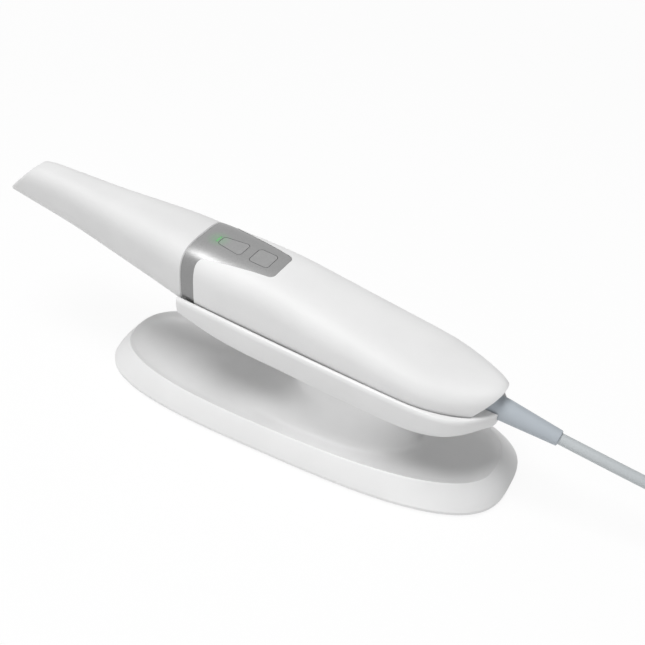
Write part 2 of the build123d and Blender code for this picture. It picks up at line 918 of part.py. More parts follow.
def ballast_plate():
    """Steel plate between the cover and the shell."""
    plate = level_oval(
        pocket_long - ballast_margin, pocket_wide - ballast_margin, ballast_bottom, ballast_top,
        pocket_power,
    )
    for x, y in base_screw_places:
        plate -= post(x, y, 0, ballast_top, base_screw_radius + hole_clearance)
    return plate


def ballast_block():
    """Iron block in the pedestal's hollow, on the ballast plate."""
    gap = ballast_block_gap + cavity_taper
    return level_oval(
        cavity_half_length - gap, cavity_half_width - gap, ballast_top,
        ballast_top + ballast_block_height, 2, pedestal_shift,
    )


def grip_pad():
    """Silicone pad that stands on the desk."""
    return level_oval(
        pocket_long - pad_margin, pocket_wide - pad_margin, 0, pad_thickness, pocket_power
    )


def base_screws():
    """Four screws under the pad's edge."""
    screws = []
    for x, y in base_screw_places:
        head = post(x, y, pad_thickness, screw_head_top, base_screw_head_radius)
        shank = post(x, y, screw_head_top, base_screw_tip, base_screw_radius)
        screws.append(head + shank)
    return screws


def lead(points, name):
    """Round cable along straight runs joined by arcs as large as the runs allow."""
    spots = [Vector(*point) for point in points]
    radii = []
    for before, here, after in zip(spots, spots[1:], spots[2:]):
        turn = radians((here - before).get_angle(after - here))
        shorter = min((here - before).length, (after - here).length)
        radii.append(run_share * shorter / tan(turn / 2))
    path = FilletPolyline(*spots, radius=radii)
    tube = sweep(Plane(path @ 0, z_dir=path % 0) * Circle(cable_radius), path=path)
    print(name, "radii", [round(radius, 1) for radius in radii], "length", round(path.length, 1),
          "volume share", round(tube.volume / (pi * cable_radius ** 2 * path.length), 4))
    return tube


def cable_coil():
    """Outer shape of the coiled rest of the cable."""
    profile = Polyline(
        (coil_inner, 0), (coil_outer, 0), (coil_outer, coil_height), (coil_inner, coil_height),
        close=True,
    )
    face = make_face(profile)
    face = fillet(face.vertices(), coil_round)
    return Pos(*coil_centre, 0) * revolve(Plane.XZ * face, Axis.Z)


def plug_frame():
    """Frame at the end of the tail, its z along the plug."""
    end = Vector(*tail_route[-1])
    before = Vector(*tail_route[-2])
    return Plane(origin=end, x_dir=(0, 0, 1), z_dir=end - before)


def usb_plug_body():
    """Moulded grip of the plug with its short boot."""
    grip = Box(plug_thickness, plug_width, plug_length - plug_boot_length)
    grip = fillet(grip.edges().filter_by(Axis.Z), plug_round)
    grip = Pos(0, 0, (plug_length + plug_boot_length) / 2) * grip
    boot = Pos(0, 0, plug_boot_length / 2) * Cylinder(plug_boot_radius, plug_boot_length)
    socket = Box(plug_shell_thickness, plug_shell_width, plug_seat)
    return plug_frame() * (grip + boot - Pos(0, 0, plug_length - plug_seat / 2) * socket)


def usb_plug_shell():
    """Folded metal shell of the plug."""
    length = plug_seat + plug_shell_length
    middle = plug_length - plug_seat + length / 2
    outer = Box(plug_shell_thickness, plug_shell_width, length)
    wall = 2 * plug_shell_wall
    inner = Box(plug_shell_thickness - wall, plug_shell_width - wall, length + wall)
    return plug_frame() * (Pos(0, 0, middle) * (outer - inner))


def usb_insulator():
    """Contact tongue in the plug's shell."""
    wall = plug_shell_wall
    x = plug_shell_thickness / 2 - wall - tongue_plate_thickness / 2
    length = plug_seat + tongue_plate_length
    middle = plug_length - plug_seat + length / 2
    plate = Pos(x, 0, middle) * Box(tongue_plate_thickness, tongue_plate_width, length)
    return plug_frame() * plate


def write(name, shape):
    """Write a piece, or a group of like pieces, as one node."""
    if isinstance(shape, list):
        shape = Compound(children=[solid for piece in shape for solid in piece.solids()])
    export_step(shape, "parts/" + name + ".step")


barrel_front = -joint_reach + joint_gap
barrel_rear = barrel_front + flange_length
snout_front = barrel_front - snout_length
board_top = chassis_top + button_board_thickness
switch_top = board_top + switch_height
screw_seat = -keel_depth + counterbore_depth
boss_xs = [place - joint_reach for place in boss_places]
scan_middle = -joint_reach + scan_front + scan_length / 2
mode_middle = -joint_reach + mode_front + mode_length / 2
relief_frame = Location((relief_reach, 0, -relief_drop), (0, 90 + relief_angle, 0))
flange_lean = relief_flange_radius * sin(radians(relief_angle))
clamp_rear = relief_reach - relief_neck - relief_flange_length - flange_fit - flange_lean
clamp_rise = (relief_reach - clamp_rear + clamp_length / 2) * tan(radians(relief_angle))
clamp_top = clamp_rise - relief_drop + relief_tail_radius + clamp_bar
pocket_long = base_half_length - pocket_inset_length
pocket_wide = base_half_width - pocket_inset_width
ballast_bottom = base_bottom + plate_thickness
ballast_top = ballast_bottom + ballast_thickness
screw_head_top = pad_thickness + base_screw_head_height
base_screw_tip = ballast_top + base_screw_reach
base_screw_places = [(x, y) for x in (-base_screw_x, base_screw_x) for y in (-base_screw_y, base_screw_y)]
cradle_screw_xs = [pedestal_shift - cradle_screw_spacing / 2, pedestal_shift + cradle_screw_spacing / 2]
screw_grip = rim_height - tray_depth - pedestal_roof - body_wall - cradle_screw_head_radius / 2

write("base_shell", base_shell())
write("base_plate", base_plate())
write("ballast_plate", ballast_plate())
write("ballast_block", ballast_block())
write("grip_pad", grip_pad())
write("base_screws", base_screws())
write("cradle_tray", seat * cradle_tray())
write("front_rest_pad", seat * rest_pad(0))
write("rear_rest_pad", seat * rest_pad(1))
write("cradle_screws", [seat * screw for screw in cradle_screws()])

upper, lower = shells()
write("upper_shell", seat * upper)
write("lower_shell", seat * lower)
write("control_collar", seat * control_collar())
write("status_light", seat * status_light())
write("scan_button_cap", seat * button(scan_plan, scan_middle))
write("mode_button_cap", seat * button(mode_plan, mode_middle))
write("tip_sleeve", seat * tip_sleeve())
write("tip_mirror", seat * tip_mirror())
write("nose_barrel", seat * nose_barrel())
write("barrel_seal", seat * barrel_seal())
write("nose_window", seat * nose_window())
write("optics_chassis", seat * optics_chassis())
write("projector_module", seat * module(-1))
write("camera_module", seat * module(1))
write("projector_lens", seat * lens(-1))
write("camera_lens", seat * lens(1))
write("button_board", seat * button_board())
write("scan_switch", seat * switch(scan_middle))
write("mode_switch", seat * switch(mode_middle))
write("main_board", seat * main_board())
write("shell_screws", [seat * screw for screw in shell_screws()])
write("strain_relief", seat * strain_relief())
write("cable_clamp", seat * cable_clamp())
write("clamp_screws", [seat * screw for screw in clamp_screws()])

mouth = (seat * relief_frame * Pos(0, 0, relief_length)).position
ahead = (seat * relief_frame * Pos(0, 0, relief_length + cable_lead)).position
write("cable", lead([mouth, ahead] + cable_route, "cable"))
write("cable_tail", lead(tail_route, "tail"))
write("cable_coil", cable_coil())
write("usb_plug_body", usb_plug_body())
write("usb_plug_shell", usb_plug_shell())
write("usb_insulator", usb_insulator())
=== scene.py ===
import logging
import math
from dataclasses import dataclass, field, replace
from enum import Enum
from typing import Any, Callable, Optional, Sequence, Union

import bpy
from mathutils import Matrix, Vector


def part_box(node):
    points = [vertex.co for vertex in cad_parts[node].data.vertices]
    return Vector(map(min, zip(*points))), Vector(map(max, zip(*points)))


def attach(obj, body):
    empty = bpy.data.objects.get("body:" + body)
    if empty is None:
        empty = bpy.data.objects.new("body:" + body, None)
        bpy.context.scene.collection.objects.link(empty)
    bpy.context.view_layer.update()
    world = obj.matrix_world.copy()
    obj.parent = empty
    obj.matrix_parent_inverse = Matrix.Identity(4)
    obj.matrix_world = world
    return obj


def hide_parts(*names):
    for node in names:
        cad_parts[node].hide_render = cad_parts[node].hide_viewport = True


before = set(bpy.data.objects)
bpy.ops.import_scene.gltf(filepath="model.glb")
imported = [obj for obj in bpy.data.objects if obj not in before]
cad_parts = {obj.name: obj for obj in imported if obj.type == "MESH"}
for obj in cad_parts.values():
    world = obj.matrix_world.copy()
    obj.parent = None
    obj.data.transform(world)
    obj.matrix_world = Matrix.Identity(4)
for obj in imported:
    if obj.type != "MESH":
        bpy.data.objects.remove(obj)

log = logging.getLogger("scanner")
Point = tuple[float, float, float]
Colour = tuple[float, float, float]
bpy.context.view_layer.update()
WHITE = (1.0, 1.0, 1.0)
MERGE_DISTANCE = 2e-6
SMOOTH_ANGLE = 38.0


class Wire:
    """One output of a shader node, with the arithmetic of its Math nodes."""

    def __init__(self, tree: bpy.types.NodeTree, socket: bpy.types.NodeSocket) -> None:
        """Keeps the output and the tree that it belongs to.

        Args:
            tree: The node tree of the output.
            socket: The output that is wrapped.
        """
        self.tree = tree
        self.socket = socket

    def math(self, operation: str, *values: Union["Wire", float]) -> "Wire":
        """Adds one Math node over this output.

        Args:
            operation: Blender's name of the operation.
            values: What follows this output, as outputs or numbers.

        Returns:
            The Math node's output.
        """
        sockets = dict(enumerate((self, *values)))
        return add_node(self.tree, "Math", {"operation": operation}, sockets)

    def __add__(self, other: Union["Wire", float]) -> "Wire":
        """Sum with an output or a number."""
        return self.math("ADD", other)

    __radd__ = __add__

    def __mul__(self, other: Union["Wire", float]) -> "Wire":
        """Product with an output or a number."""
        return self.math("MULTIPLY", other)

    __rmul__ = __mul__

    def __sub__(self, other: Union["Wire", float]) -> "Wire":
        """This output less another or a number."""
        return self.math("SUBTRACT", other)

    def __rsub__(self, other: float) -> "Wire":
        """A number less this output."""
        return self.math("MULTIPLY_ADD", -1.0, other)

    def step(self, low: float, high: float) -> "Wire":
        """Smooth step from 0 at low to 1 at high.

        Args:
            low: Value where the step begins.
            high: Value where the step ends.

        Returns:
            The step's output.
        """
        return add_node(self.tree, "MapRange", {"interpolation_type": "SMOOTHSTEP"},
                        {"Value": self, "From Min": low, "From Max": high})


def feed(tree: bpy.types.NodeTree, slot: bpy.types.NodeSocket, value: Any) -> None:
    """Sets a socket to a value, or links an output to it.

    Args:
        tree: The node tree of both.
        slot: The socket that is fed.
        value: A wrapped output, a number, a colour or a vector.
    """
    if isinstance(value, Wire):
        tree.links.new(value.socket, slot)
    elif slot.type == "RGBA" and not isinstance(value, (int, float)):
        slot.default_value = (*value[:3], 1.0)
    else:
        slot.default_value = value


def add_node(tree: bpy.types.NodeTree, kind: str, settings: dict[str, Any],
             sockets: dict[Union[str, int], Any], output: Union[str, int] = 0) -> Wire:
    """Adds any shader node.

    Args:
        tree: The node tree that it goes to.
        kind: The node's type after ShaderNode.
        settings: The node's own settings, set first.
        sockets: Values or outputs, by the input's name or number.
        output: Name or number of the output that is returned.

    Returns:
        The wrapped output.
    """
    node = tree.nodes.new("ShaderNode" + kind)
    for name, value in settings.items():
        setattr(node, name, value)
    for slot, value in sockets.items():
        feed(tree, node.inputs[slot], value)
    return Wire(tree, node.outputs[output])


def darker(colour: Colour, share: float) -> Colour:
    """A colour scaled down by a share."""
    return tuple(part * share for part in colour)


class Surface:
    """A node material under way, with its Principled shader."""

    def __init__(self, name: str) -> None:
        """Starts the material.

        Args:
            name: The finish's name.
        """
        self.material = bpy.data.materials.new(name)
        self.material.use_nodes = True
        self.tree = self.material.node_tree
        self.shader = self.tree.nodes["Principled BSDF"]
        self.place = self.node("TexCoord", {}, {}, "Object")

    def node(self, kind: str, settings: dict[str, Any], sockets: dict[Union[str, int], Any],
             output: Union[str, int] = 0) -> Wire:
        """Adds any node to this material, as add_node does."""
        return add_node(self.tree, kind, settings, sockets, output)

    def noise(self, scale: float, detail: float = 2.0, rough: float = 0.5,
              at: Optional[Wire] = None) -> Wire:
        """Noise in the object's own space.

        Args:
            scale: Cells per metre.
            detail: Octaves.
            rough: Weight of the finer octaves.
            at: Coordinates, if not the object's.

        Returns:
            The noise from 0 to 1.
        """
        sockets = {"Vector": at or self.place, "Scale": scale, "Detail": detail, "Roughness": rough}
        return self.node("TexNoise", {}, sockets, "Fac")

    def mix(self, mask: Wire, low: Any, high: Any) -> Wire:
        """Mixes two colours by a mask.

        Args:
            mask: 0 gives low and 1 gives high.
            low: Colour or output.
            high: Colour or output.

        Returns:
            The mixed colour.
        """
        # The colour sockets of a Mix node share their names with others, so they go by number
        return self.node("Mix", {"data_type": "RGBA"}, {0: mask, 6: low, 7: high}, 2)

    def bump(self, height: Wire, strength: float, distance: float) -> None:
        """Feeds a height through a Bump node to the shader.

        Args:
            height: The height.
            strength: How strongly it shows.
            distance: The height's size in metres.
        """
        sockets = {"Strength": strength, "Distance": distance, "Height": height}
        self.put(Normal=self.node("Bump", {}, sockets, "Normal"))

    def put(self, **sockets: Any) -> None:
        """Sets or links sockets of the Principled shader, with _ for a blank."""
        for name, value in sockets.items():
            feed(self.tree, self.shader.inputs[name.replace("_", " ")], value)


@dataclass(frozen=True)
class MouldedPlastic:
    """Moulded plastic with a fine grain and the faint waviness of a real wall."""

    name: str
    colour: Colour
    roughness: float
    grain: float
    shade: float = 0.965
    drift_scale: float = 38.0
    drift_edges: tuple[float, float] = (0.3, 0.7)
    pore_scale: float = 2600.0
    pore_depth: float = 0.00006
    uneven: float = 0.05
    refraction: float = 1.47

    def build(self) -> bpy.types.Material:
        """Makes the material.

        Returns:
            The material.
        """
        surface = Surface(self.name)
        drift = surface.noise(self.drift_scale, detail=3.0, rough=0.55)
        pores = surface.noise(self.pore_scale, detail=2.0, rough=0.6)
        shaded = darker(self.colour, self.shade)
        surface.put(
            Base_Color=surface.mix(drift.step(*self.drift_edges), shaded, self.colour),
            Roughness=drift * self.uneven + pores * self.uneven + (self.roughness - self.uneven),
            IOR=self.refraction,
        )
        surface.bump(pores, self.grain, self.pore_depth)
        return surface.material


@dataclass(frozen=True)
class MetallicPaint:
    """Silver paint: fine flakes under a satin lacquer, with a painted green glow of the status light
    round lit where that is given.
    """

    name: str
    colour: Colour
    metal: float
    roughness: float
    # lit is the middle of a painted green glow of the status light, which is tinted into the paint's
    # colour near it
    lit: Optional[Point] = None
    painted_glow_reach: tuple[float, float] = (0.0008, 0.0068)
    painted_glow_share: float = 0.34
    painted_glow_colour: Colour = (0.16, 0.42, 0.19)
    flake_scale: float = 4200.0
    flake_depth: float = 0.00003
    flake_relief: float = 0.08
    flake_gloss: float = 0.08
    drift_scale: float = 60.0
    drift_gloss: float = 0.05
    gloss_shift: float = 0.06
    shade: float = 0.86
    lacquer: float = 0.25
    lacquer_roughness: float = 0.22

    def build(self) -> bpy.types.Material:
        """Makes the material.

        Returns:
            The material.
        """
        surface = Surface(self.name)
        sockets = {"Vector": surface.place, "Scale": self.flake_scale}
        flakes = surface.node("TexVoronoi", {"feature": "F1"}, sockets, "Color")
        sparkle = surface.node("SeparateColor", {}, {"Color": flakes}, "Red")
        drift = surface.noise(self.drift_scale)
        paint = surface.mix(sparkle, darker(self.colour, self.shade), self.colour)
        # Painted light: the status light's green glow is painted into the paint's colour, strongest
        # at lit and fading out across the reach
        if self.lit is not None:
            away = surface.node("VectorMath", {"operation": "DISTANCE"},
                                {0: surface.place, 1: self.lit}, "Value")
            near = 1.0 - away.step(*self.painted_glow_reach)
            paint = surface.mix(near * self.painted_glow_share, paint, self.painted_glow_colour)
        gloss = sparkle * self.flake_gloss + drift * self.drift_gloss
        surface.put(
            Base_Color=paint,
            Metallic=self.metal,
            Roughness=gloss + (self.roughness - self.gloss_shift),
            Coat_Weight=self.lacquer,
            Coat_Roughness=self.lacquer_roughness,
        )
        surface.bump(sparkle, self.flake_relief, self.flake_depth)
        return surface.material


@dataclass(frozen=True)
class Elastomer:
    """Matt rubber or silicone with a dry skin."""

    name: str
    colour: Colour
    roughness: float = 0.62
    shade: float = 0.93
    skin_scale: float = 1500.0
    skin_depth: float = 0.00005
    skin_relief: float = 0.18
    skin_gloss: float = 0.10
    gloss_shift: float = 0.05
    drift_scale: float = 70.0
    sheen: float = 0.12
    sheen_roughness: float = 0.5

    def build(self) -> bpy.types.Material:
        """Makes the material.

        Returns:
            The material.
        """
        surface = Surface(self.name)
        skin = surface.noise(self.skin_scale, detail=4.0, rough=0.6)
        drift = surface.noise(self.drift_scale)
        surface.put(
            Base_Color=surface.mix(drift, darker(self.colour, self.shade), self.colour),
            Roughness=skin * self.skin_gloss + (self.roughness - self.gloss_shift),
            Sheen_Weight=self.sheen,
            Sheen_Roughness=self.sheen_roughness,
        )
        surface.bump(skin, self.skin_relief, self.skin_depth)
        return surface.material


class MetalKind(Enum):
    """How a bare metal was finished."""

    BRUSHED = "brushed"
    BLASTED = "blasted"
    CAST = "cast"


@dataclass(frozen=True)
class BareMetal:
    """Bare metal: brushed along x, bead blasted or cast."""

    name: str
    colour: Colour
    kind: MetalKind
    roughness: float
    shade: float = 0.8
    tooth_scale: float = 1800.0
    cast_scale: float = 700.0
    brush_stretch: Point = (0.03, 1.0, 1.0)
    tooth_depth: float = 0.00005
    tooth_relief: float = 0.2
    tooth_gloss: float = 0.16
    gloss_shift: float = 0.08

    def build(self) -> bpy.types.Material:
        """Makes the material.

        Returns:
            The material.
        """
        surface = Surface(self.name)
        at: Optional[Wire] = None
        if self.kind is MetalKind.BRUSHED:
            at = surface.node("Mapping", {}, {"Vector": surface.place, "Scale": self.brush_stretch})
        scale = self.cast_scale if self.kind is MetalKind.CAST else self.tooth_scale
        tooth = surface.noise(scale, detail=4.0, rough=0.6, at=at)
        surface.put(
            Base_Color=surface.mix(tooth, darker(self.colour, self.shade), self.colour),
            Metallic=1.0,
            Roughness=tooth * self.tooth_gloss + (self.roughness - self.gloss_shift),
        )
        surface.bump(tooth, self.tooth_relief, self.tooth_depth)
        return surface.material


@dataclass(frozen=True)
class ClearGlass:
    """Clear optical glass with a faint haze."""

    name: str
    colour: Colour = (0.86, 0.92, 0.93)
    haze_scale: float = 300.0
    haze: float = 0.03
    roughness: float = 0.02
    clear: float = 0.9
    opacity: float = 0.55
    refraction: float = 1.5

    def build(self) -> bpy.types.Material:
        """Makes the material.

        Returns:
            The material.
        """
        surface = Surface(self.name)
        surface.put(
            Base_Color=self.colour,
            Roughness=surface.noise(self.haze_scale) * self.haze + self.roughness,
            Transmission_Weight=self.clear,
            IOR=self.refraction,
            Alpha=self.opacity,
        )
        return surface.material


@dataclass(frozen=True)
class SilveredGlass:
    """Front-surface mirror."""

    name: str
    colour: Colour = (0.93, 0.94, 0.95)
    haze_scale: float = 200.0
    haze: float = 0.02
    roughness: float = 0.02

    def build(self) -> bpy.types.Material:
        """Makes the material.

        Returns:
            The material.
        """
        surface = Surface(self.name)
        haze = surface.noise(self.haze_scale) * self.haze
        surface.put(Base_Color=self.colour, Metallic=1.0, Roughness=haze + self.roughness)
        return surface.material


@dataclass(frozen=True)
class StatusGlow:
    """Translucent light guide, lit brightest at its middle."""

    name: str
    middle: Point
    colour: Colour = (0.15, 0.46, 0.17)
    edge_colour: Colour = (0.12, 0.34, 0.14)
    glow: Colour = (0.16, 0.60, 0.22)
    edge_glow: Colour = (0.03, 0.16, 0.05)
    strength: float = 0.10
    core_edges: tuple[float, float] = (0.0003, 0.0024)
    roughness: float = 0.35
    core_gloss: float = 0.1

    def build(self) -> bpy.types.Material:
        """Makes the material.

        Returns:
            The material.
        """
        surface = Surface(self.name)
        side = surface.node("SeparateXYZ", {}, {"Vector": surface.place}, "Y")
        core = 1.0 - (side - self.middle[1]).math("ABSOLUTE").step(*self.core_edges)
        surface.put(
            Base_Color=surface.mix(core, self.edge_colour, self.colour),
            Roughness=self.roughness - core * self.core_gloss,
            Emission_Color=surface.mix(core, self.edge_glow, self.glow),
            Emission_Strength=self.strength,
        )
        return surface.material


@dataclass(frozen=True)
class SolderMask:
    """Circuit board with tracks under its mask."""

    name: str
    colour: Colour = (0.02, 0.16, 0.07)
    track_colour: Colour = (0.05, 0.30, 0.12)
    track_scale: float = 420.0
    track_gap: float = 0.08
    track_gloss: float = 0.12
    track_relief: float = 0.3
    track_depth: float = 0.00004
    roughness: float = 0.42

    def build(self) -> bpy.types.Material:
        """Makes the material.

        Returns:
            The material.
        """
        surface = Surface(self.name)
        sockets = {"Vector": surface.place, "Scale": self.track_scale, "Mortar Size": self.track_gap}
        tracks = surface.node("TexBrick", {"offset": 0.35, "squash": 0.6}, sockets, "Fac")
        surface.put(
            Base_Color=surface.mix(tracks, self.colour, self.track_colour),
            Roughness=self.roughness - tracks * self.track_gloss,
        )
        surface.bump(tracks, self.track_relief, self.track_depth)
        return surface.material


Finish = Union[MouldedPlastic, MetallicPaint, Elastomer, BareMetal, ClearGlass, SilveredGlass,
               StatusGlow, SolderMask]

BASE_WHITE = MouldedPlastic("base_white", (0.78, 0.78, 0.78), roughness=0.36, grain=0.05)
SHELL_WHITE = MouldedPlastic("shell_white", (0.80, 0.80, 0.80), roughness=0.55, grain=0.06)
SLEEVE_WHITE = MouldedPlastic("sleeve_white", (0.74, 0.74, 0.74), roughness=0.60, grain=0.06)
COLLAR_SILVER = MetallicPaint("collar_silver", (0.30, 0.30, 0.30), metal=0.95, roughness=0.39)
BUTTON_SILVER = MetallicPaint("button_silver", (0.325, 0.325, 0.325), metal=0.95, roughness=0.40)
BLACK_MOULDED = MouldedPlastic("black_moulded", (0.02, 0.02, 0.022), roughness=0.5, grain=0.2)
LENS_BLACK = MouldedPlastic("lens_black", (0.012, 0.012, 0.014), roughness=0.3, grain=0.1)
PAD_SILICONE = Elastomer("pad_silicone", (0.24, 0.25, 0.26))
SEAL_SILICONE = Elastomer("seal_silicone", (0.08, 0.08, 0.09))
RELIEF_RUBBER = Elastomer("relief_rubber", (0.43, 0.47, 0.51))
CABLE_JACKET = Elastomer("cable_jacket", (0.50, 0.53, 0.545), roughness=0.5)
PLUG_GREY = MouldedPlastic("plug_grey", (0.42, 0.45, 0.47), roughness=0.45, grain=0.3)
PLUG_WHITE = MouldedPlastic("plug_white", (0.8, 0.8, 0.8), roughness=0.4, grain=0.1)
PLUG_STEEL = BareMetal("plug_steel", (0.72, 0.72, 0.73), MetalKind.BRUSHED, 0.28)
ZINC_STEEL = BareMetal("zinc_steel", (0.62, 0.62, 0.64), MetalKind.BLASTED, 0.35)
PLATE_STEEL = BareMetal("plate_steel", (0.45, 0.46, 0.47), MetalKind.BRUSHED, 0.4)
CAST_IRON = BareMetal("cast_iron", (0.18, 0.18, 0.19), MetalKind.CAST, 0.6)
BLASTED_ALU = BareMetal("blasted_alu", (0.78, 0.79, 0.80), MetalKind.BLASTED, 0.42)
FRONT_GLASS = ClearGlass("front_glass")
TIP_MIRROR = SilveredGlass("tip_mirror_silver")
BOARD_GREEN = SolderMask("board_green")


def wear(node: str, finish: Finish) -> None:
    """Gives a node of the fixed frame its finish.

    Args:
        node: The node's name.
        finish: The finish that it gets.
    """
    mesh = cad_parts[node].data
    mesh.materials.clear()
    mesh.materials.append(finish.build())
    log.info("%s in %s", node, finish.name)


def dress(finishes: dict[str, Finish]) -> None:
    """Gives each named node its finish."""
    for node, finish in finishes.items():
        wear(node, finish)


def aim(thing: bpy.types.Object, place: Point, target: Point) -> None:
    """Adds a camera or a lamp to the scene, turned to its target.

    Args:
        thing: The camera or lamp.
        place: Where it stands.
        target: The point that it looks at.
    """
    bpy.context.scene.collection.objects.link(thing)
    thing.location = place
    look = Vector(target) - Vector(place)
    thing.rotation_euler = look.to_track_quat("-Z", "Y").to_euler()


@dataclass
class ViewPoint:
    """Camera at the photograph's place."""

    position: Point = (0.16288, -0.26510, 0.29706)
    target: Point = (-0.00475, 0.02727, 0.03000)
    lens: float = 49.48
    sensor: float = 36.0
    near: float = 0.01
    far: float = 20.0

    def build(self) -> bpy.types.Object:
        """Makes the camera and gives it to the scene.

        Returns:
            The camera.
        """
        data = bpy.data.cameras.new("camera")
        data.lens = self.lens
        data.sensor_width = self.sensor
        data.clip_start = self.near
        data.clip_end = self.far
        camera = bpy.data.objects.new("camera", data)
        aim(camera, self.position, self.target)
        bpy.context.scene.camera = camera
        log.info("camera with a %.2f mm lens", self.lens)
        return camera


@dataclass
class Cable:
    """Pale grey lead: a sagging run to the desk, two layers of a neat coil, a tail to the plug."""

    diameter: float = 0.0050
    exit: Point = (0.12113, 0.0, 0.03874)
    run: Sequence[Point] = (
        (0.15850, 0.0, 0.03187), (0.1810, 0.0055, 0.0235), (0.2050, 0.0120, 0.0125),
        (0.2294, 0.0137, 0.0042),
    )
    coil_centre: tuple[float, float] = (0.2500, -0.0310)
    inner_turn: float = 0.0200
    pitch: float = 0.0051
    columns: int = 5
    first_layer: float = 0.0026
    entry_turn: float = 80.0
    exit_turn: float = -155.0
    steps: int = 16
    # Share of a turn that stays level before the lead moves to its next lane
    level_share: float = 0.78
    smoothness: int = 5
    tail: Sequence[Point] = (
        (0.2107, -0.0423, 0.0086), (0.2088, -0.0308, 0.0116), (0.2144, -0.0214, 0.0136),
        (0.2244, -0.0160, 0.01445), (0.2350, -0.0160, 0.01445),
    )

    def turns(self) -> list[Point]:
        """Control points of the coil's turns, inwards on the desk and outwards above.

        Returns:
            The points in metres.
        """
        # A quadratic curve runs inside its control points, so they stand out by this ratio
        bulge = 1.0 / (0.75 + 0.25 * math.cos(2 * math.pi / self.steps))
        full = 2 * self.columns - 1
        sweep = full * 360.0 + (self.entry_turn - self.exit_turn)
        count = round(sweep / 360.0 * self.steps)
        points = []
        for index in range(count + 1):
            turned = index * 360.0 / self.steps
            turn = min(int(turned // 360.0), full)
            part = (turned - turn * 360.0) / 360.0
            part = min(max((part - self.level_share) / (1 - self.level_share), 0.0), 1.0)
            part = part * part * (3 - 2 * part)
            start, end = self.lane(turn), self.lane(turn + 1)
            radius = (start[0] + (end[0] - start[0]) * part) * bulge
            height = start[1] + (end[1] - start[1]) * part
            angle = math.radians(self.entry_turn - turned)
            points.append((
                self.coil_centre[0] + radius * math.cos(angle),
                self.coil_centre[1] + radius * math.sin(angle),
                height,
            ))
        return points

    def lane(self, turn: int) -> tuple[float, float]:
        """Radius and height of one turn.

        Args:
            turn: The turn's number from the entry.

        Returns:
            The radius and the height in metres.
        """
        last = self.columns - 1
        if turn <= last:
            return self.inner_turn + self.pitch * (last - turn), self.first_layer
        column = min(turn - self.columns, last)
        return self.inner_turn + self.pitch * column, self.first_layer + self.pitch

    def build(self) -> bpy.types.Object:
        """Returns:
            The curve.
        """
        points = [self.exit, *self.run, *self.turns(), *self.tail]
        curve = bpy.data.curves.new("lead", "CURVE")
        curve.dimensions = "3D"
        curve.bevel_depth = self.diameter / 2
        curve.bevel_resolution = self.smoothness
        curve.resolution_u = self.smoothness
        curve.use_fill_caps = True
        spline = curve.splines.new("NURBS")
        spline.points.add(len(points) - 1)
        for spot, point in zip(spline.points, points):
            spot.co = (*point, 1.0)
        spline.order_u = 3
        spline.use_endpoint_u = True
        lead = bpy.data.objects.new("lead", curve)
        bpy.context.scene.collection.objects.link(lead)
        curve.materials.append(CABLE_JACKET.build())
        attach(lead, "stand")
        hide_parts("cable", "cable_coil", "cable_tail")
        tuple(self.exit)
        self.length(lead)
        return lead

    def length(self, lead: bpy.types.Object) -> float:
        """Length of the real lead, from the strain relief to the plug.

        Args:
            lead: The curve.

        Returns:
            The length in metres, to the centimetre.
        """
        total = sum(spline.calc_length() for spline in lead.data.splines)
        log.info("lead: the curve is %.3f m long", total)
        return round(total, 2)


@dataclass(frozen=True)
class Lamp:
    """Round soft lamp turned to the middle of the object."""

    name: str
    place: Point
    size: float
    power: float
    target: Point = (0.0, 0.0, 0.03)

    def build(self) -> bpy.types.Object:
        """Makes the lamp.

        Returns:
            The lamp.
        """
        data = bpy.data.lights.new(self.name, "AREA")
        data.shape = "DISK"
        data.size = self.size
        data.energy = self.power
        lamp = bpy.data.objects.new(self.name, data)
        aim(lamp, self.place, self.target)
        log.info("%s: %.1f W", self.name, self.power)
        return lamp


